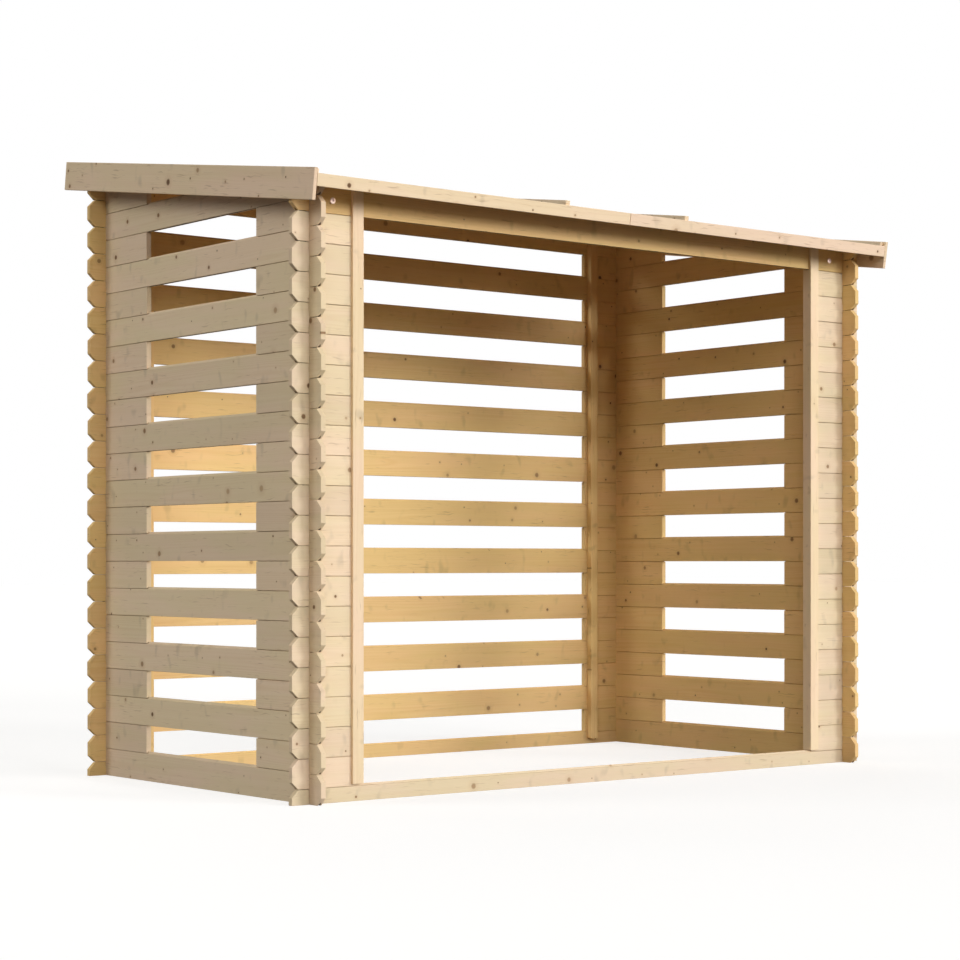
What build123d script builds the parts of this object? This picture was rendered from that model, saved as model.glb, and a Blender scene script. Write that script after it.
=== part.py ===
from build123d import *
import os
from math import atan, degrees, tan

# Log store for firewood: an open-fronted shed of thin interlocking logs.
# The origin is on the ground under the middle of the walls.
# +X runs along the front to the right, +Y to the back wall and +Z up.

# Logs, in millimetres
course = 88.0
log_thickness = 17.0
tongue_height = 7.0
tongue_width = 7.0
groove_clearance = 0.5
end_overhang = 60.0
end_chamfer = 22.0
notch_depth = course / 4

# Walls, over the outer faces
wall_width = 2280.0
wall_depth = 1200.0
side_short_log = 280.0
back_short_log = 182.0
wall_courses = 22
return_courses = 19
top_wedge_start = 400.0

# Posts at the front opening and braces on the back wall
post_width = 39.0
post_cheek = 10.0
post_web = 12.0
post_inner_edge = 187.5
brace_width = 34.0
brace_thickness = 24.0
brace_edge = 134.0
brace_bottom = 20.0
brace_top = 1950.0

# Roof
roof_rise = 2 * course
roof_length = 1468.0
board_thickness = 16.0
trim_thickness = 12.0
barge_drop = 55.0
barge_top = 37.0
fascia_drop = 15.0
fascia_top = 22.0
felt_thickness = 2.0
felt_width = 1000.0
felt_lap = 100.0
batten_height = 17.0
seam_batten_width = 17.0
seam_batten_place = 254.0
edge_batten_width = 12.0

# Places worked out from the sizes above
half_width = wall_width / 2
half_depth = wall_depth / 2
reach_x = half_width + end_overhang
reach_y = half_depth + end_overhang
front_face = -half_depth
back_face = half_depth - log_thickness
left_face = -half_width
right_face = half_width - log_thickness
sill_top = course / 2
lintel_bottom = sill_top + return_courses * course
lintel_top = lintel_bottom + course
post_inner_x = half_width - post_inner_edge
slope = atan(roof_rise / wall_depth)
roof_middle = lintel_top + (half_depth - log_thickness) * tan(slope)
roof_normal = Vector(0, 0, 1).rotate(Axis.X, degrees(slope))
roof_plane = Plane(origin=(0, 0, roof_middle), x_dir=(1, 0, 0), z_dir=roof_normal)
roof_shift = (barge_top - barge_drop) / 2 * tan(slope)
board_length = roof_length - 2 * trim_thickness

os.makedirs("parts", exist_ok=True)


def finish(piece, name):
    """Label a finished piece and write it."""
    piece.part.label = name
    export_step(piece.part, f"parts/{name}.step")


def ridge(middle, height, width, rise):
    """Pointed section of a tongue or a groove, standing on its base."""
    base = (middle - width / 2, height), (middle + width / 2, height)
    return *base, (middle, height + rise)


def logs(name, run, face, low, high, bottoms, height=course, foot=True, trimmed=False):
    """Logs of one wall that run along X or Y from low to high, one for each bottom height.

    Each log is the moulded section run along the wall, then cut to its side elevation. Its
    ends have 45 degree chamfers where they project past a corner. Where a log of the other
    wall crosses, it is notched a quarter of a course above and below. The groove runs right
    through and the tongue stops at the corners. A log without a foot is the upper half of
    a log and stands flat on the ground. A trimmed log is cut to the underside of the roof.
    """
    if run == "x":
        section_plane, section_way = Plane.YZ.offset(low), 1
        elevation_plane, elevation_way = Plane.XZ.offset(-face), -1
        corner, reach = half_width - log_thickness, reach_x
    else:
        section_plane, section_way = Plane.XZ.offset(-low), -1
        elevation_plane, elevation_way = Plane.YZ.offset(face), 1
        corner, reach = half_depth - log_thickness, reach_y
    middle = face + log_thickness / 2
    groove_width = tongue_width + 2 * groove_clearance
    groove_depth = tongue_height + groove_clearance
    tongue_low, tongue_high = max(low, -corner), min(high, corner)

    with BuildPart() as wall_logs:
        with BuildSketch(section_plane):
            for z in bottoms:
                with Locations((middle, z)):
                    Rectangle(log_thickness, height, align=(Align.CENTER, Align.MIN))
                Polygon(*ridge(middle, z + height, tongue_width, tongue_height), align=None)
                if foot:
                    groove = ridge(middle, z, groove_width, groove_depth)
                    Polygon(*groove, align=None, mode=Mode.SUBTRACT)
        extrude(amount=section_way * (high - low))

        with BuildSketch(elevation_plane) as elevation:
            with Locations(*[((low + high) / 2, z) for z in bottoms]):
                Rectangle(high - low, height, align=(Align.CENTER, Align.MIN))
            ends = elevation.vertices().filter_by(lambda v: abs(v.X) == reach)
            chamfer(ends.filter_by(lambda v: foot or v.Y > 0), end_chamfer)
            with Locations(*[((tongue_low + tongue_high) / 2, z + height) for z in bottoms]):
                Rectangle(tongue_high - tongue_low, 2 * tongue_height)
            for crossing in (-corner - log_thickness / 2, corner + log_thickness / 2):
                if low < crossing < high:
                    with Locations(*[(crossing, z + height) for z in bottoms]):
                        Rectangle(log_thickness, 2 * notch_depth, mode=Mode.SUBTRACT)
                    if foot:
                        with Locations(*[(crossing, z) for z in bottoms]):
                            Rectangle(log_thickness, 2 * notch_depth, mode=Mode.SUBTRACT)
        extrude(amount=elevation_way * log_thickness, mode=Mode.INTERSECT)
        if trimmed:
            split(bisect_by=roof_plane, keep=Keep.BOTTOM)
    finish(wall_logs, name)


def side_bottoms(first):
    """Bottom heights of every second log of a side wall."""
    return [k * course for k in range(first, wall_courses, 2)]


def end_bottoms(first, courses):
    """Bottom heights of every second whole log of the front or back wall."""
    return [sill_top + k * course for k in range(first, courses, 2)]


# Front wall: a sill, short return logs beside the opening, and a lintel log

def front_wall():
    """Front logs, whose joints lie half a course above those of the side walls."""
    logs("front_sill_log", "x", front_face, -reach_x, reach_x, [0], height=sill_top, foot=False)
    logs("front_lintel_log", "x", front_face, -reach_x, reach_x, [lintel_bottom], trimmed=True)
    inner_end = post_inner_x + post_web
    for first, which in ((0, "odd"), (1, "even")):
        bottoms = end_bottoms(first, return_courses)
        logs(f"front_left_{which}_logs", "x", front_face, -reach_x, -inner_end, bottoms)
        logs(f"front_right_{which}_logs", "x", front_face, inner_end, reach_x, bottoms)


# Posts: grooved over the return logs and forked over the lintel log

def opening_post(name, side):
    """One grooved post, standing on the sill's tongue and reaching the roof boards."""
    x = side * (post_inner_x + post_width / 2)
    y = front_face + log_thickness / 2
    foot = sill_top + tongue_height
    with BuildPart() as post:
        with BuildSketch(Plane.XY.offset(foot)):
            with Locations((x, y)):
                Rectangle(post_width, log_thickness + 2 * post_cheek)
            with Locations((x + side * post_web / 2, y)):
                Rectangle(post_width - post_web, log_thickness, mode=Mode.SUBTRACT)
        extrude(amount=lintel_top + course - foot)
        with BuildSketch(Plane.XY.offset(lintel_bottom)):
            with Locations((x, y)):
                Rectangle(post_width, log_thickness)
        extrude(amount=2 * course, mode=Mode.SUBTRACT)
        split(bisect_by=roof_plane, keep=Keep.BOTTOM)
    finish(post, name)


# Side walls: full-length logs with short logs between them that leave slots

def side_wall(side, face):
    """Logs of the left or right wall, the last of them cut to the slope of the roof."""
    short_end = half_depth - side_short_log
    long_bottoms = side_bottoms(0)
    short_bottoms = side_bottoms(1)
    logs(f"{side}_wall_long_logs", "y", face, -reach_y, reach_y, long_bottoms, trimmed=True)
    logs(f"{side}_wall_front_short_logs", "y", face, -reach_y, -short_end, short_bottoms[:-1])
    logs(f"{side}_wall_back_short_logs", "y", face, short_end, reach_y, short_bottoms, trimmed=True)
    wedge_bottom = [wall_courses * course]
    logs(f"{side}_wall_top_wedge", "y", face, top_wedge_start, reach_y, wedge_bottom, trimmed=True)


# Back wall: the same weave of long and short logs, half a course higher

def back_wall():
    """Logs of the back wall, standing on a sill of half height."""
    short_end = half_width - back_short_log
    long_bottoms = end_bottoms(1, wall_courses)
    short_bottoms = end_bottoms(0, wall_courses)
    logs("back_sill_log", "x", back_face, -reach_x, reach_x, [0], height=sill_top, foot=False)
    logs("back_wall_long_logs", "x", back_face, -reach_x, reach_x, long_bottoms, trimmed=True)
    logs("back_wall_left_short_logs", "x", back_face, -reach_x, -short_end, short_bottoms)
    logs("back_wall_right_short_logs", "x", back_face, short_end, reach_x, short_bottoms)


def back_brace(name, side):
    """Upright batten on the inner face of the back wall, which ties its logs together."""
    with BuildPart() as brace:
        with BuildSketch(Plane.XY.offset(brace_bottom)):
            with Locations((side * (half_width - brace_edge - brace_width / 2), back_face)):
                Rectangle(brace_width, brace_thickness, align=(Align.CENTER, Align.MAX))
        extrude(amount=brace_top - brace_bottom)
    finish(brace, name)


# Roof: everything lies on the slope, so it is drawn on planes parallel to it

def roof_strip(name, level, x, width, height, length=board_length, along=0.0):
    """A straight piece of the roof, level above the underside of the boards."""
    with BuildPart() as strip:
        with BuildSketch(roof_plane.offset(level)):
            with Locations((x, roof_shift + along)):
                Rectangle(width, length)
        extrude(amount=height)
    finish(strip, name)


def middle_felt():
    """The middle strip of felt, whose edges lap over the strips beside it."""
    flat = 2 * (reach_x - felt_width)
    with BuildPart() as felt:
        with BuildSketch(roof_plane.offset(board_thickness)):
            with Locations((0, roof_shift)):
                Rectangle(flat, board_length)
        extrude(amount=felt_thickness)
        with BuildSketch(roof_plane.offset(board_thickness + felt_thickness)):
            with Locations((0, roof_shift)):
                Rectangle(flat + 2 * felt_lap, board_length)
                Rectangle(flat - 2 * felt_thickness, board_length, mode=Mode.SUBTRACT)
        extrude(amount=felt_thickness)
    finish(felt, "roof_felt_middle")


def roof():
    """Roof boards, felt, battens, fascias and barge boards."""
    middle_felt()
    on_felt = board_thickness + felt_thickness
    fascia_along = (roof_length - trim_thickness) / 2
    fascia_height = fascia_top + fascia_drop
    for name, side in (("left", -1), ("right", 1)):
        panel_x = side * reach_x / 2
        felt_x = side * (reach_x - felt_width / 2)
        seam_x = side * seam_batten_place
        edge_x = side * (reach_x - edge_batten_width / 2)
        barge_x = side * (reach_x + trim_thickness / 2)
        roof_strip(f"roof_boards_{name}", 0, panel_x, reach_x, board_thickness)
        roof_strip(f"roof_felt_{name}", board_thickness, felt_x, felt_width, felt_thickness)
        roof_strip(f"felt_batten_{name}", on_felt + felt_thickness, seam_x, seam_batten_width, batten_height)
        roof_strip(f"edge_batten_{name}", on_felt, edge_x, edge_batten_width, batten_height)
        roof_strip(
            f"barge_board_{name}", -barge_drop, barge_x, trim_thickness, barge_drop + barge_top, roof_length
        )
        for place, along in (("front", -fascia_along), ("rear", fascia_along)):
            fascia = f"{place}_fascia_{name}"
            roof_strip(fascia, -fascia_drop, panel_x, reach_x, fascia_height, trim_thickness, along)


front_wall()
opening_post("opening_post_left", -1)
opening_post("opening_post_right", 1)
side_wall("left", left_face)
side_wall("right", right_face)
back_wall()
back_brace("back_brace_left", -1)
back_brace("back_brace_right", 1)
roof()
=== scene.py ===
import math
import random
from collections import namedtuple

import bmesh
import bpy
from mathutils import Matrix, Vector

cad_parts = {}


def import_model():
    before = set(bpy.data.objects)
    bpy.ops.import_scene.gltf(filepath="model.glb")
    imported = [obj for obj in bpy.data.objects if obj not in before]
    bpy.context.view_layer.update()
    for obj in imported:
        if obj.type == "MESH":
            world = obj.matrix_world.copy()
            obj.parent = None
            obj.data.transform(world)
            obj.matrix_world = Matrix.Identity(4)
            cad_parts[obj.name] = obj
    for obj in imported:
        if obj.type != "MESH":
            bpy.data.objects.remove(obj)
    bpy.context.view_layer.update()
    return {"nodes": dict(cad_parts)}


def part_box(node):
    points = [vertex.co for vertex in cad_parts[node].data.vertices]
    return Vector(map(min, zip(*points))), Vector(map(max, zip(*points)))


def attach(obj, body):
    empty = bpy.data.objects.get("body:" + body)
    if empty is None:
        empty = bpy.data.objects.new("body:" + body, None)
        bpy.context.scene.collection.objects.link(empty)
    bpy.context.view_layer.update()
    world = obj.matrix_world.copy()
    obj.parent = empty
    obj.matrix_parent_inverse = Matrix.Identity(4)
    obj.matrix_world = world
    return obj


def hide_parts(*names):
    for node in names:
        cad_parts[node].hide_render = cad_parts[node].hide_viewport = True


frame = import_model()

# Log store for firewood, in metres. +X runs along the front to the right, +Y to the back.

X, Y, Z = Vector((1, 0, 0)), Vector((0, 1, 0)), Vector((0, 0, 1))
MM = 0.001

# Camera of the photograph
CAMERA_PLACE = (-4.8765, -6.0578, 0.7001)
CAMERA_YAW = -38.681
CAMERA_LENS = 85.515
CAMERA_RISE = 0.0862
CAMERA_REACH = 200

# Joints between logs and boards
JOINT_GAP = 1.8 * MM
GROOVE_REACH = 5 * MM
BUTT_GAP = 0.8 * MM
LOG_STAGGER = 0.25 * MM
LOG_SLIDE = 0.7 * MM
BOARD_COVER = 88 * MM
BOARD_GAP = 0.8 * MM

# Rounding of edges
LOG_ROUNDING = 1.3 * MM
PLANED_ROUNDING = 1.6 * MM
BOARD_ROUNDING = 1.8 * MM

# Sizes below which points are one and the same
WELD = 0.02 * MM
TOUCH = 0.1 * MM

# Cosines above which a face counts as an upper or outer face, as end grain, or as sloping
FACING = 0.5
END_FACING = 0.6
SLOPING = 0.2

# Where boards are cut: metres along the tree, and metres from its pith
GRAIN_STARTS = 60
PITH_ASIDE = 0.03
PITH_NEAR, PITH_FAR = 0.012, 0.07

# Wood: year rings, and the cells that hold one knot at most
RING_WIDTH = 0.0042
KNOT_EVERY = 0.2
KNOT_ROW = 0.044

# Fixings
NAIL_RADIUS = 2.7 * MM
NAIL_HEIGHT = 0.6 * MM
NAIL_SPACING = 0.15
SCREW_RADIUS = 9.5 * MM
SCREW_HEIGHT = 2.5 * MM
SCREW_INSET = 83 * MM
SCREW_RISE = 40 * MM
HEAD_SIDES = 20
HEAD_PROFILE = ((1.0, 0.0), (1.0, 0.35), (0.86, 0.8), (0.5, 1.0))
RECESS_LENGTH = 0.42
RECESS_WIDTH = 0.11
RECESS_LIFT = 1.02

# Stage
FLOOR_REACH = 60.0
FLOOR_BOUNCE = (0.132, 0.124, 0.124, 1)
FLOOR_SEEN = (0.45, 0.45, 0.45, 1)
FLOOR_GLOW = 0.7
HORIZON = 0.1


# Nodes of materials

class Nodes:
    """A node tree, with short calls for the nodes that it needs."""

    def __init__(self, tree):
        self.tree = tree
        self.tree.nodes.clear()

    def node(self, kind, inputs=None, **settings):
        """A node with its settings, and its inputs linked or set."""
        made = self.tree.nodes.new("ShaderNode" + kind)
        for key, value in settings.items():
            setattr(made, key, value)
        for key, value in (inputs or {}).items():
            if isinstance(value, bpy.types.NodeSocket):
                self.tree.links.new(value, made.inputs[key])
            else:
                made.inputs[key].default_value = value
        return made

    def math(self, operation, *values):
        """One arithmetic step on numbers."""
        return self.node("Math", dict(enumerate(values)), operation=operation).outputs[0]

    def vector(self, operation, *values, scale=None):
        """One arithmetic step on vectors."""
        inputs = dict(enumerate(values))
        if scale is not None:
            inputs["Scale"] = scale
        made = self.node("VectorMath", inputs, operation=operation)
        return made.outputs["Value" if operation == "LENGTH" else "Vector"]

    def noise(self, vector, scales, detail=3.0, rough=0.5):
        """Noise between 0 and 1 whose scale differs along each axis."""
        stretched = self.vector("MULTIPLY", vector, scales)
        inputs = {"Vector": stretched, "Scale": 1.0, "Detail": detail, "Roughness": rough}
        return self.node("TexNoise", inputs)

    def drift(self, vector, scales, detail, reach):
        """A vector moved to and fro by noise, as far as reach along each axis."""
        aside = self.vector("SUBTRACT", self.noise(vector, scales, detail).outputs["Color"], (0.5, 0.5, 0.5))
        return self.vector("MULTIPLY_ADD", aside, reach, vector)

    def span(self, value, low, high, to_low=0.0, to_high=1.0):
        """A number moved smoothly from one range to another, and kept inside it."""
        inputs = {"Value": value, "From Min": low, "From Max": high, "To Min": to_low, "To Max": to_high}
        return self.node("MapRange", inputs, interpolation_type="SMOOTHSTEP").outputs[0]

    def mix(self, factor, first, second, blend="MIX"):
        """A colour between two others."""
        inputs = {0: factor, 6: first, 7: second}
        return self.node("Mix", inputs, data_type="RGBA", blend_type=blend).outputs[2]


class Shader(Nodes):
    """The node tree of one material."""

    def __init__(self, name):
        self.material = bpy.data.materials.new(name)
        self.material.use_nodes = True
        super().__init__(self.material.node_tree)

    def attribute(self, name, output="Fac"):
        """What a mesh stores under this name."""
        return self.node("Attribute", attribute_name=name).outputs[output]

    def finish(self, **inputs):
        """The Principled shader and the output."""
        names = {"color": "Base Color", "rough": "Roughness", "metal": "Metallic", "normal": "Normal"}
        named = {names.get(key, key): value for key, value in inputs.items()}
        shader = self.node("BsdfPrincipled", named)
        self.node("OutputMaterial", {"Surface": shader.outputs[0]})
        return self.material


def rgb(red, green, blue):
    """A colour as it is seen on a screen, from 0 to 255, as Blender's linear colour."""
    linear = [((channel / 255 + 0.055) / 1.055) ** 2.4 for channel in (red, green, blue)]
    return *linear, 1.0


# Wood

STROKE_COLOR = rgb(150, 114, 78)
HALO_COLOR = rgb(190, 150, 108)
RIM_COLOR = rgb(128, 92, 58)
DEAD_KNOT_COLOR = rgb(92, 66, 44)
LIVE_KNOT_COLOR = rgb(164, 122, 80)
END_COLOR = rgb(206, 166, 116)

Knots = namedtuple("Knots", "core rim halo firm radius kind")


def knots_of(s, grain, share, largest):
    """Masks of the knots, how firmly the nearest one shows, its radius, and its kind from dead to live."""
    cell = s.vector("MULTIPLY", grain, (1 / KNOT_EVERY, 1 / KNOT_ROW, 0))
    inputs = {"Vector": cell, "Scale": 1.0, "Randomness": 0.9}
    nearest = s.node("TexVoronoi", inputs, voronoi_dimensions="2D")
    away = s.vector("SUBTRACT", cell, nearest.outputs["Position"])
    away = s.vector("MULTIPLY", away, (KNOT_EVERY, KNOT_ROW, 0))
    size, place, kind = s.node("SeparateColor", {0: nearest.outputs["Color"]}).outputs

    there = s.math("LESS_THAN", place, share)
    radius = s.span(s.math("POWER", size, 3.0), 0, 1, 0.25 * largest, largest)
    radius = s.math("MULTIPLY", radius, there)
    radius = s.math("MULTIPLY", radius, s.span(kind, 0, 1, 0.95, 1.25))
    firm = s.span(kind, 0, 1, 0.95, 0.4)

    ragged = s.noise(grain, (160, 260, 260), 2).outputs[0]
    distance = s.math("ADD", s.vector("LENGTH", away), s.math("MULTIPLY", ragged, 0.0016))
    distance = s.math("SUBTRACT", distance, 0.0008)
    ratio = s.math("DIVIDE", distance, s.math("MAXIMUM", radius, 0.0002))
    core = s.math("MULTIPLY", s.span(ratio, 1.0, 0.7), there)
    rim = s.math("MULTIPLY", s.span(ratio, 1.3, 0.95), there)
    halo = s.math("MULTIPLY", s.span(ratio, 3.4, 1.0), there)
    return Knots(core, rim, halo, firm, radius, kind)


def rings_of(s, grain, knots):
    """Year rings round the pith, which drift along the board and bend round its knots."""
    swayed = s.drift(grain, (1.3, 7, 7), 2, (0, 0.022, 0.022))
    depth = s.vector("LENGTH", s.vector("MULTIPLY", swayed, (0, 1, 1)))
    bend = s.math("MULTIPLY", knots.halo, s.math("MULTIPLY", knots.radius, 0.9))
    depth = s.math("ADD", depth, bend)
    wave = s.math("SINE", s.math("MULTIPLY", depth, 2 * math.pi / RING_WIDTH))
    return s.math("POWER", s.math("MULTIPLY_ADD", wave, 0.5, 0.5), 2.2)


def strokes_of(s, grain, level):
    """Short dark fibres, where a wavering noise is above a level."""
    curled = s.drift(grain, (26, 12, 12), 1, (0, 0.012, 0.012))
    stroke = s.noise(curled, (15, 240, 50), 1).outputs[0]
    stroke = s.math("MULTIPLY_ADD", s.noise(grain, (6, 16, 16), 1).outputs[0], 0.3, stroke)
    return s.span(stroke, level, level + 0.18)


def tinted(s, grain, tone, color):
    """A colour made a little yellower or pinker from place to place and from board to board."""
    cloud = s.noise(grain, (2.0, 9, 9), 3, 0.55).outputs[0]
    places = s.mix(s.span(cloud, 0.38, 0.64), (0.975, 1.0, 0.94, 1), (1.015, 0.995, 1.01, 1))
    color = s.mix(1.0, color, places, "MULTIPLY")
    hue = s.math("FRACT", s.math("MULTIPLY", tone, 9.7))
    boards = s.mix(hue, (0.994, 1.0, 0.975, 1), (1.004, 1.0, 1.012, 1))
    return s.mix(1.0, color, boards, "MULTIPLY")


def shaded(s, grain, tone, fibre, color):
    """A colour made lighter or darker by the board's tone, its fibres and smudges, and darkened inside its
    grooves as painted shade.
    """
    smudge = s.noise(grain, (24, 15, 15), 1).outputs[0]
    level = s.math("MULTIPLY_ADD", tone, 0.11, 0.945)
    level = s.math("MULTIPLY", level, s.math("MULTIPLY_ADD", fibre, 0.06, 0.97))
    level = s.math("MULTIPLY", level, s.span(smudge, 0.62, 0.82, 1.0, 0.82))
    # Painted shade: faces inside the grooves are darkened by up to three quarters.
    level = s.math("MULTIPLY", level, s.math("MULTIPLY_ADD", s.attribute("groove_shade"), -0.75, 1.0))
    return s.vector("SCALE", color, scale=level)


def knotty(s, knots, color):
    """A colour with the knots in it."""
    color = s.mix(s.math("MULTIPLY", knots.halo, 0.2), color, HALO_COLOR)
    rim = s.math("MULTIPLY", s.math("MULTIPLY", knots.rim, knots.firm), 0.6)
    color = s.mix(rim, color, RIM_COLOR)
    inside = s.mix(knots.kind, DEAD_KNOT_COLOR, LIVE_KNOT_COLOR)
    return s.mix(s.math("MULTIPLY", knots.core, knots.firm), color, inside)


def wood(name, early, late, knot_share=0.4, knot_radius=0.0075, strokes=0.8):
    """Planed spruce. The attribute grain holds metres along, across and through each board from its pith.

    early and late are the colours of the pale and the dark part of a year's ring. knot_share
    of the places for a knot have one, and dark fibres show where a noise is above strokes.
    The attributes tone, end and groove_shade hold each board's tone, its end grain, and the faces inside its
    grooves that get painted shade.
    """
    s = Shader(name)
    grain = s.attribute("grain", "Vector")
    tone = s.attribute("tone")
    end = s.attribute("end")
    knots = knots_of(s, grain, knot_share, knot_radius)
    ring = rings_of(s, grain, knots)
    fibre = s.noise(grain, (9, 560, 560), 3, 0.6).outputs[0]
    streak = s.noise(grain, (2.2, 120, 120), 3, 0.6).outputs[0]
    strength = s.span(s.noise(grain, (1.5, 8, 8), 1).outputs[0], 0.35, 0.7, 0.02, 0.22)
    strength = s.math("MULTIPLY", strength, s.math("MULTIPLY_ADD", end, -0.5, 1.0))

    shade = s.math("MULTIPLY_ADD", streak, 0.42, s.math("MULTIPLY", ring, strength))
    color = tinted(s, grain, tone, s.mix(shade, early, late))
    color = shaded(s, grain, tone, fibre, color)
    color = s.mix(s.math("MULTIPLY", strokes_of(s, grain, strokes), 0.4), color, STROKE_COLOR)
    color = knotty(s, knots, color)
    color = s.mix(s.math("MULTIPLY", end, 0.08), color, END_COLOR)

    height = s.math("MULTIPLY_ADD", ring, strength, s.math("MULTIPLY", fibre, 0.8))
    height = s.math("SUBTRACT", height, s.math("MULTIPLY", knots.rim, 0.6))
    bump = s.node("Bump", {"Height": height, "Strength": 0.35, "Distance": 0.0006})
    rough = s.span(fibre, 0.2, 0.8, 0.68, 0.84)
    return s.finish(color=color, rough=rough, normal=bump.outputs[0], **{"Specular IOR Level": 0.25})


# Other materials

def mineral_felt(name):
    """Roofing felt with a dark mineral face."""
    s = Shader(name)
    grain = s.attribute("grain", "Vector")
    grit = s.node("TexVoronoi", {"Vector": grain, "Scale": 900.0})
    speck = s.node("SeparateColor", {0: grit.outputs["Color"]}).outputs[0]
    patch = s.noise(grain, (5, 9, 9), 4, 0.6).outputs[0]
    color = s.mix(speck, rgb(58, 60, 60), rgb(104, 106, 104))
    color = s.mix(s.span(patch, 0.35, 0.75), color, rgb(70, 72, 70))
    height = s.math("ADD", s.math("MULTIPLY", grit.outputs["Distance"], -1.0), speck)
    bump = s.node("Bump", {"Height": height, "Strength": 0.6, "Distance": 0.0008})
    return s.finish(color=color, rough=s.span(speck, 0, 1, 0.78, 0.95), normal=bump.outputs[0])


def zinc(name):
    """Zinc-plated steel of nails and screws."""
    s = Shader(name)
    place = s.node("TexCoord").outputs["Object"]
    patch = s.noise(place, (400, 400, 400)).outputs[0]
    color = s.mix(patch, rgb(244, 218, 206), rgb(252, 230, 220))
    bump = s.node("Bump", {"Height": patch, "Strength": 0.2, "Distance": 0.0002})
    rough = s.span(patch, 0.2, 0.8, 0.4, 0.55)
    return s.finish(color=color, rough=rough, metal=0.85, normal=bump.outputs[0])


def shadowed_steel(name):
    """Darker steel whose colour is painted shade, for the flat cross that stands for the recess in a screw.
    """
    s = Shader(name)
    place = s.node("TexCoord").outputs["Object"]
    patch = s.noise(place, (600, 600, 600), 2).outputs[0]
    color = s.mix(patch, rgb(186, 158, 164), rgb(206, 178, 182))
    return s.finish(color=color, rough=s.span(patch, 0.2, 0.8, 0.5, 0.7), metal=0.6)


# Directions and solids

class Basis:
    """Directions along, across and through the boards of a piece."""

    def __init__(self, along, across, through):
        self.axes = (along, across, through)

    def local(self, point):
        """A point of the frame in these directions."""
        return Vector([point.dot(axis) for axis in self.axes])

    def world(self, point):
        """A point in these directions in the frame."""
        return sum((axis * value for axis, value in zip(self.axes, point)), Vector())

    def extent(self, node):
        """Lowest and highest values of a CAD node in these directions."""
        points = [self.local(v.co) for v in frame["nodes"][node].data.vertices]
        return [min(p[i] for p in points) for i in range(3)], [max(p[i] for p in points) for i in range(3)]


def roof_basis(use):
    """Directions of a roof piece that lies flat on the slope, stands upright along it, or is a fascia."""
    slab = frame["nodes"]["roof_boards_left"].data
    top = max((p for p in slab.polygons if p.normal.z > FACING), key=lambda p: p.area)
    up = top.normal.copy()
    up.x = 0
    up.normalize()
    slope = up.cross(X) * -1
    uses = {"flat": (slope, X, up), "upright": (slope, up, X), "fascia": (X, up, slope)}
    return Basis(*uses[use])


def islands(mesh):
    """Vertices of each solid in a bmesh."""
    left, found = set(mesh.verts), []
    while left:
        stack, group = [left.pop()], []
        while stack:
            vertex = stack.pop()
            group.append(vertex)
            for edge in vertex.link_edges:
                other = edge.other_vert(vertex)
                if other in left:
                    left.remove(other)
                    stack.append(other)
        found.append(group)
    return found


def dice_for(name, point):
    """Random numbers that depend only on a name and a place, so that each run gives the same."""
    return random.Random(f"{name} {round(point.x, 2)} {round(point.y, 2)} {round(point.z, 2)}")


def centre_of(vertices):
    """The middle of the box round some vertices."""
    low = Vector([min(v.co[i] for v in vertices) for i in range(3)])
    high = Vector([max(v.co[i] for v in vertices) for i in range(3)])
    return (low + high) / 2


# Meshes

def add_grain(mesh, name, basis, groove=False):
    """Store on each solid where it lies in its board, its tone, which faces are end grain, and which faces
    lie inside a groove and get painted shade.
    """
    grain = mesh.verts.layers.float_vector.new("grain")
    tone = mesh.verts.layers.float.new("tone")
    end = mesh.faces.layers.float.new("end")
    groove_shade = mesh.faces.layers.float.new("groove_shade")
    for group in islands(mesh):
        centre = centre_of(group)
        dice = dice_for(name, centre)
        start = dice.uniform(0, GRAIN_STARTS)
        aside = dice.uniform(-PITH_ASIDE, PITH_ASIDE)
        pith = Vector((start, aside, dice.choice((-1, 1)) * dice.uniform(PITH_NEAR, PITH_FAR)))
        shade = dice.random()
        for vertex in group:
            vertex[grain] = basis.local(vertex.co - centre) + pith
            vertex[tone] = shade
        for face in {face for vertex in group for face in vertex.link_faces}:
            along, across, through = basis.local(face.normal)
            middle = basis.local(face.calc_center_median() - centre)[2]
            # Downward-slanting faces near the middle of the thickness lie inside the groove and are marked
            # for painted shade.
            inside = across < -SLOPING and abs(through) > SLOPING and abs(middle) < GROOVE_REACH
            face[end] = float(abs(along) > END_FACING)
            face[groove_shade] = float(groove and inside)


def round_edges(mesh, rounding, sharp=math.radians(20)):
    """Round the edges of a bmesh a little."""
    edges = [e for e in mesh.edges if len(e.link_faces) == 2 and e.calc_face_angle(0) > sharp]
    how = {"segments": 2, "profile": 0.6, "affect": "EDGES", "clamp_overlap": True}
    bmesh.ops.bevel(mesh, geom=edges, offset=rounding, **how)
    mesh.normal_update()


def copy_of(node):
    """The faces of a CAD node as a bmesh, with its triangles joined into whole faces."""
    mesh = bmesh.new()
    mesh.from_mesh(frame["nodes"][node].data)
    for layer in list(mesh.loops.layers.uv):
        mesh.loops.layers.uv.remove(layer)
    bmesh.ops.remove_doubles(mesh, verts=mesh.verts, dist=WELD)
    flat = math.radians(0.5)
    bmesh.ops.dissolve_limit(mesh, angle_limit=flat, verts=mesh.verts, edges=mesh.edges)
    return mesh


def add_piece(mesh, name, material, slot, *nodes, second=None):
    """Make an object of a bmesh, which rides on the store and stands for these CAD nodes."""
    data = bpy.data.meshes.new(name)
    mesh.to_mesh(data)
    mesh.free()
    data.materials.append(material)
    if second:
        data.materials.append(second)
    piece = bpy.data.objects.new(name, data)
    bpy.context.scene.collection.objects.link(piece)
    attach(piece, "root")
    if nodes:
        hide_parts(*nodes)
    return piece


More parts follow.
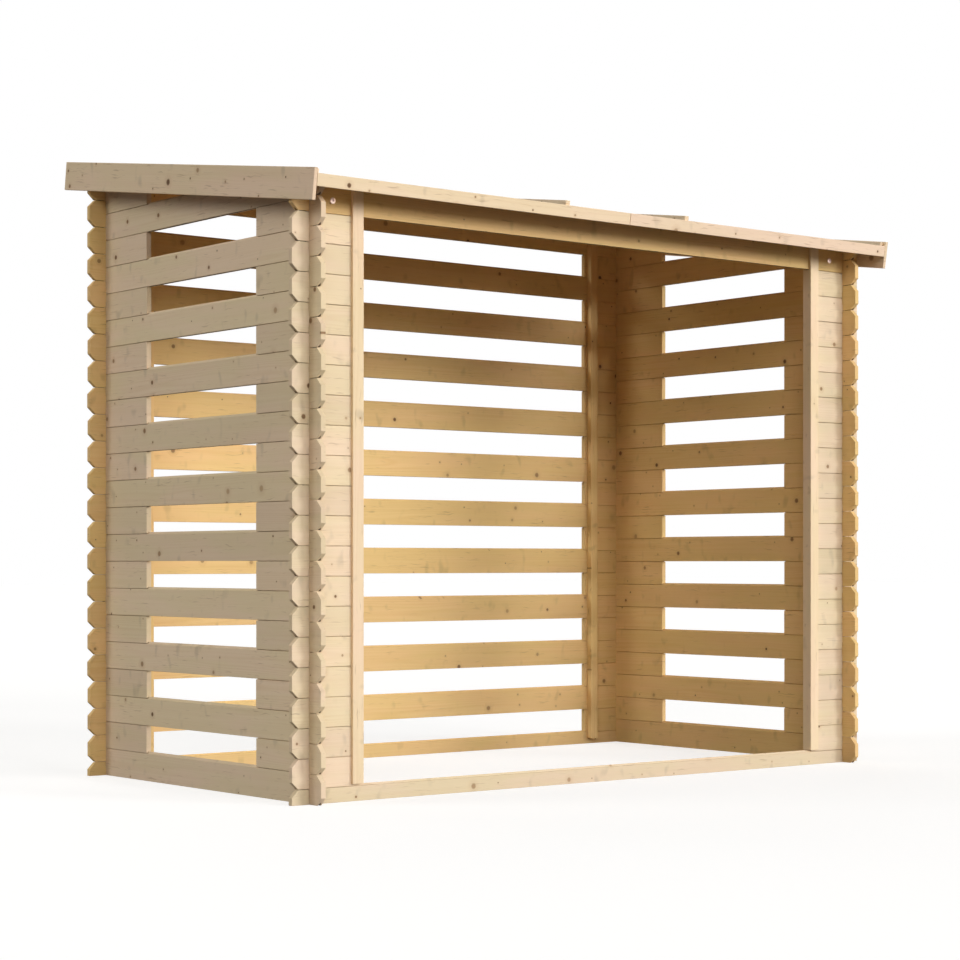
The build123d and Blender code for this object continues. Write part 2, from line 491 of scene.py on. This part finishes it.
def open_joints(mesh, name, basis):
    """Leave a thin gap under each log that isn't on the ground, and set it a hair in or out of the wall."""
    for group in islands(mesh):
        dice = dice_for(name + " joint", centre_of(group))
        bottom = min(v.co.z for v in group)
        shift = basis.axes[2] * dice.uniform(-LOG_STAGGER, LOG_STAGGER)
        shift += basis.axes[0] * dice.uniform(-LOG_SLIDE, LOG_SLIDE)
        for vertex in group:
            if bottom > MM and vertex.co.z < bottom + TOUCH:
                vertex.co.z += JOINT_GAP
            vertex.co += shift


def add_block(mesh, basis, low, high):
    """A block between two corners that are given in a basis."""
    places = [(x, y, z) for x in (low[0], high[0]) for y in (low[1], high[1]) for z in (low[2], high[2])]
    block = [mesh.verts.new(basis.world(place)) for place in places]
    for face in ((0, 1, 3, 2), (4, 6, 7, 5), (0, 4, 5, 1), (2, 3, 7, 6), (0, 2, 6, 4), (1, 5, 7, 3)):
        mesh.faces.new([block[i] for i in face])


def add_head(mesh, place, facing, radius, height):
    """The domed head of a nail or screw, and the transform that sets a point on it."""
    turn = facing.to_track_quat("Z", "Y").to_matrix().to_4x4()
    onto = Matrix.Translation(place) @ turn
    rings = []
    for reach, rise in HEAD_PROFILE:
        ring = []
        for i in range(HEAD_SIDES):
            angle = 2 * math.pi * i / HEAD_SIDES
            across, up = reach * radius * math.cos(angle), reach * radius * math.sin(angle)
            ring.append(mesh.verts.new(onto @ Vector((across, up, rise * height))))
        rings.append(ring)
    for lower, upper in zip(rings, rings[1:]):
        for i in range(HEAD_SIDES):
            after = (i + 1) % HEAD_SIDES
            mesh.faces.new((lower[i], lower[after], upper[after], upper[i]))
    mesh.faces.new(rings[-1])
    mesh.faces.new(rings[0][::-1])
    return onto


def add_recess(mesh, onto, radius, height):
    """A flat cross just above a screw's head, in the second material, which paints the shade of the cross
    recess.
    """
    arm, thin = RECESS_LENGTH * radius, RECESS_WIDTH * radius
    for reach, wide in ((arm, thin), (thin, arm)):
        corners = ((-reach, -wide), (reach, -wide), (reach, wide), (-reach, wide))
        slot = [mesh.verts.new(onto @ Vector((*corner, RECESS_LIFT * height))) for corner in corners]
        mesh.faces.new(slot).material_index = 1


# Dressed pieces

def dress_logs(node, basis, material, outer=None):
    """Logs with rounded edges in place of a node's plain ones, and outer wood on their outer faces; the
    other faces take material, which may be the golden copy of the wood with painted shade.
    """
    mesh = copy_of(node)
    open_joints(mesh, node, basis)
    round_edges(mesh, LOG_ROUNDING)
    add_grain(mesh, node, basis, groove=True)
    # Outer faces take the outer wood; the rest keep material, which for the back and right walls is the
    # golden copy with painted shade.
    for face in mesh.faces:
        face.material_index = int(outer is not None and face.normal.dot(basis.axes[2]) > FACING)
    return add_piece(mesh, "wood_" + node, material, "wall_logs", node, second=outer)


def dress_board(node, basis, material, slot, butt=0.0):
    """A planed board with rounded edges in place of a plain one, shorter by butt at each end."""
    mesh = copy_of(node)
    low, high = basis.extent(node)
    for vertex in mesh.verts:
        side = 1 if basis.local(vertex.co)[0] < (low[0] + high[0]) / 2 else -1
        vertex.co += basis.axes[0] * side * butt
    round_edges(mesh, PLANED_ROUNDING)
    add_grain(mesh, node, basis)
    return add_piece(mesh, "wood_" + node, material, slot, node)


def roof_boards(side, material):
    """Boards that run up the slope, in place of one half of the roof; their tongues are left out, and they
    stand as plain blocks with thin gaps.
    """
    node = f"roof_boards_{side}"
    basis = roof_basis("flat")
    low, high = basis.extent(node)
    mesh = bmesh.new()
    outer, way = (low[1], 1) if side == "left" else (high[1], -1)
    width, done = high[1] - low[1], 0.0
    shrink = BOARD_GAP / 2
    while done < width - MM:
        cover = min(BOARD_COVER, width - done)
        edges = sorted((outer + way * done, outer + way * (done + cover)))
        add_block(mesh, basis, (low[0], edges[0] + shrink, low[2]), (high[0], edges[1] - shrink, high[2]))
        done += cover
    bmesh.ops.recalc_face_normals(mesh, faces=mesh.faces)
    round_edges(mesh, BOARD_ROUNDING)
    add_grain(mesh, node, basis)
    return add_piece(mesh, "wood_" + node, material, "roof_boarding", node)


def felt_strip(node, material):
    """A strip of felt with a mineral face, in place of a plain one."""
    mesh = copy_of(node)
    add_grain(mesh, node, roof_basis("flat"))
    return add_piece(mesh, "mineral_" + node, material, "roofing_felt", node)


# The store

def dress_walls(material, shade_golden):
    """All logs of the four walls. Inside the back and right walls and on the lintel they take a golden copy
    of the wood with painted shade and warm bounce light.
    """
    side_wall, end_wall = Basis(Y, Z, X), Basis(X, Z, Y)
    for node in sorted(frame["nodes"]):
        if node.startswith("left_wall"):
            dress_logs(node, side_wall, material)
        elif node.startswith("right_wall"):
            dress_logs(node, side_wall, shade_golden, material)
        elif node.startswith(("back_wall", "back_sill")):
            dress_logs(node, end_wall, shade_golden, material)
        elif node.startswith("front_lintel"):
            dress_logs(node, end_wall, shade_golden)
        elif node.startswith("front") and "log" in node:
            dress_logs(node, end_wall, material)


def dress_uprights(material, shade_golden):
    """Posts at the opening, and braces on the back wall in the golden copy of the wood with painted shade.
    """
    upright = Basis(Z, X, Y)
    for node in sorted(frame["nodes"]):
        if node.startswith("opening_post"):
            dress_board(node, upright, material, "planed_posts")
        elif node.startswith("back_brace"):
            dress_board(node, upright, shade_golden, "planed_posts")


def dress_trim(material):
    """Fascias, barge boards and battens of the roof."""
    for node in sorted(frame["nodes"]):
        if "fascia" in node:
            dress_board(node, roof_basis("fascia"), material, "planed_trim", BUTT_GAP)
        elif "barge" in node or "batten" in node:
            dress_board(node, roof_basis("upright"), material, "planed_trim")


def dress_roof(boards, felt):
    """Roof boards, and the three strips of felt on them."""
    for side in ("left", "right"):
        roof_boards(side, boards)
    for place in ("left", "middle", "right"):
        felt_strip("roof_felt_" + place, felt)


def lintel_screws(material, dark):
    """The screws that fasten the lintel log near its ends."""
    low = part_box("front_lintel_log")[0]
    left_wall, right_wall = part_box("left_wall_long_logs"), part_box("right_wall_long_logs")
    mesh = bmesh.new()
    for x in (left_wall[0].x + SCREW_INSET, right_wall[1].x - SCREW_INSET):
        place = Vector((x, low.y, low.z + SCREW_RISE))
        onto = add_head(mesh, place, -Y, SCREW_RADIUS, SCREW_HEIGHT)
        add_recess(mesh, onto, SCREW_RADIUS, SCREW_HEIGHT)
    return add_piece(mesh, "lintel_screws", material, "planed_trim", second=dark)


def batten_nails(material):
    """Nails along the felt battens."""
    basis = roof_basis("flat")
    mesh = bmesh.new()
    for node in ("felt_batten_left", "felt_batten_right"):
        low, high = basis.extent(node)
        length = high[0] - low[0]
        count = round(length / NAIL_SPACING)
        for i in range(count):
            along = low[0] + (i + 0.5) * length / count
            place = basis.world((along, (low[1] + high[1]) / 2, high[2]))
            add_head(mesh, place, basis.axes[2], NAIL_RADIUS, NAIL_HEIGHT)
    return add_piece(mesh, "batten_nails", material, "planed_trim")


# Stage

def camera():
    """The camera where the photograph was taken from."""
    data = bpy.data.cameras.new("camera")
    data.lens = CAMERA_LENS
    data.shift_y = CAMERA_RISE
    data.clip_end = CAMERA_REACH
    made = bpy.data.objects.new("camera", data)
    made.location = CAMERA_PLACE
    made.rotation_euler = (math.radians(90), 0, math.radians(CAMERA_YAW))
    bpy.context.scene.collection.objects.link(made)
    bpy.context.scene.camera = made


def lamp(name, azimuth, elevation, softness, level, tint):
    """Soft parallel light from a compass direction, which is 0 in front and 90 on the right."""
    data = bpy.data.lights.new(name, "SUN")
    data.angle = math.radians(softness)
    data.energy = level * math.pi
    data.color = tint
    around, up = math.radians(azimuth), math.radians(elevation)
    source = Vector((math.sin(around) * math.cos(up), -math.cos(around) * math.cos(up), math.sin(up)))
    made = bpy.data.objects.new(name, data)
    made.rotation_euler = source.to_track_quat("Z", "Y").to_euler()
    bpy.context.scene.collection.objects.link(made)


def white_seen(nodes, plain, seen):
    """One shader for rays that light the object, and another for those that see the background."""
    path = nodes.node("LightPath").outputs
    direct = nodes.math("MAXIMUM", path["Is Camera Ray"], path["Is Glossy Ray"])
    either = nodes.math("MAXIMUM", direct, path["Is Transmission Ray"])
    return nodes.node("MixShader", {0: either, 1: plain, 2: seen}).outputs[0]


def world(level, below, tint):
    """Soft light from all round, dimmer from below, with a white background."""
    made = bpy.data.worlds.new("studio")
    made.use_nodes = True
    nodes = Nodes(made.node_tree)
    place = nodes.node("TexCoord").outputs["Generated"]
    rise = nodes.node("SeparateXYZ", {0: place}).outputs[2]
    inputs = {"Value": rise, "From Min": -HORIZON, "From Max": HORIZON, "To Min": below, "To Max": level}
    strength = nodes.node("MapRange", inputs).outputs[0]
    soft = nodes.node("Background", {"Color": (*tint, 1), "Strength": strength})
    white = nodes.node("Background", {"Color": (1, 1, 1, 1)})
    surface = white_seen(nodes, soft.outputs[0], white.outputs[0])
    nodes.node("OutputWorld", {0: surface})
    bpy.context.scene.world = made


def floor_material():
    """Plain white to look at, and dimmer as a source of light."""
    s = Shader("floor")
    plain = s.node("BsdfDiffuse", {"Color": FLOOR_BOUNCE})
    seen = s.node("BsdfDiffuse", {"Color": FLOOR_SEEN})
    glow = s.node("Emission", {"Strength": FLOOR_GLOW})
    lifted = s.node("AddShader", {0: seen.outputs[0], 1: glow.outputs[0]})
    surface = white_seen(s, plain.outputs[0], lifted.outputs[0])
    s.node("OutputMaterial", {"Surface": surface})
    return s.material


def floor():
    """A plain white floor that keeps the store's shadow."""
    mesh = bmesh.new()
    corners = ((-1, -1), (1, -1), (1, 1), (-1, 1))
    mesh.faces.new([mesh.verts.new((x * FLOOR_REACH, y * FLOOR_REACH, 0)) for x, y in corners])
    data = bpy.data.meshes.new("floor")
    mesh.to_mesh(data)
    mesh.free()
    data.materials.append(floor_material())
    made = bpy.data.objects.new("floor", data)
    bpy.context.scene.collection.objects.link(made)


def stage():
    """Camera, floor and plain soft light."""
    bpy.context.scene.view_settings.view_transform = "Standard"
    camera()
    floor()
    world(0.105, 0.0, (0.98, 0.95, 0.87))
    lamp("front", 3, 18, 24, 0.375, (1, 1, 1))
    lamp("front_right", 31, 13.5, 21, 0.5, (1, 1, 1))
    lamp("right", 62, 2.5, 12, 0.22, (1, 0.87, 0.65))
    lamp("front_left", -44, 24, 24, 0.2, (1, 0.98, 0.94))
    lamp("left", -116, 26, 30, 0.305, (1, 0.98, 0.94))
    lamp("back", 165, 32, 60, 0.26, (1, 0.99, 0.96))


log_wood = wood("log_wood", rgb(233, 213, 186), rgb(214, 186, 148))
# A warmer, deeper copy of the log wood: painted shade and warm bounce light for faces inside the store and
# for the lintel under the eave.
shade_golden_wood = wood("shade_golden_wood", rgb(241, 206, 148), rgb(218, 174, 107))
post_wood = wood("post_wood", rgb(242, 218, 189), rgb(222, 190, 152), knot_share=0.08)
trim_looks = {"knot_share": 0.9, "knot_radius": 0.011, "strokes": 0.77}
trim_wood = wood("trim_wood", rgb(241, 217, 191), rgb(223, 192, 158), **trim_looks)
board_wood = wood("board_wood", rgb(234, 208, 174), rgb(212, 176, 132), knot_share=0.35)
felt = mineral_felt("felt")
steel = zinc("steel")

dress_walls(log_wood, shade_golden_wood)
dress_uprights(post_wood, shade_golden_wood)
dress_trim(trim_wood)
dress_roof(board_wood, felt)
lintel_screws(steel, shadowed_steel("screw_recess_shade"))
batten_nails(steel)
stage()
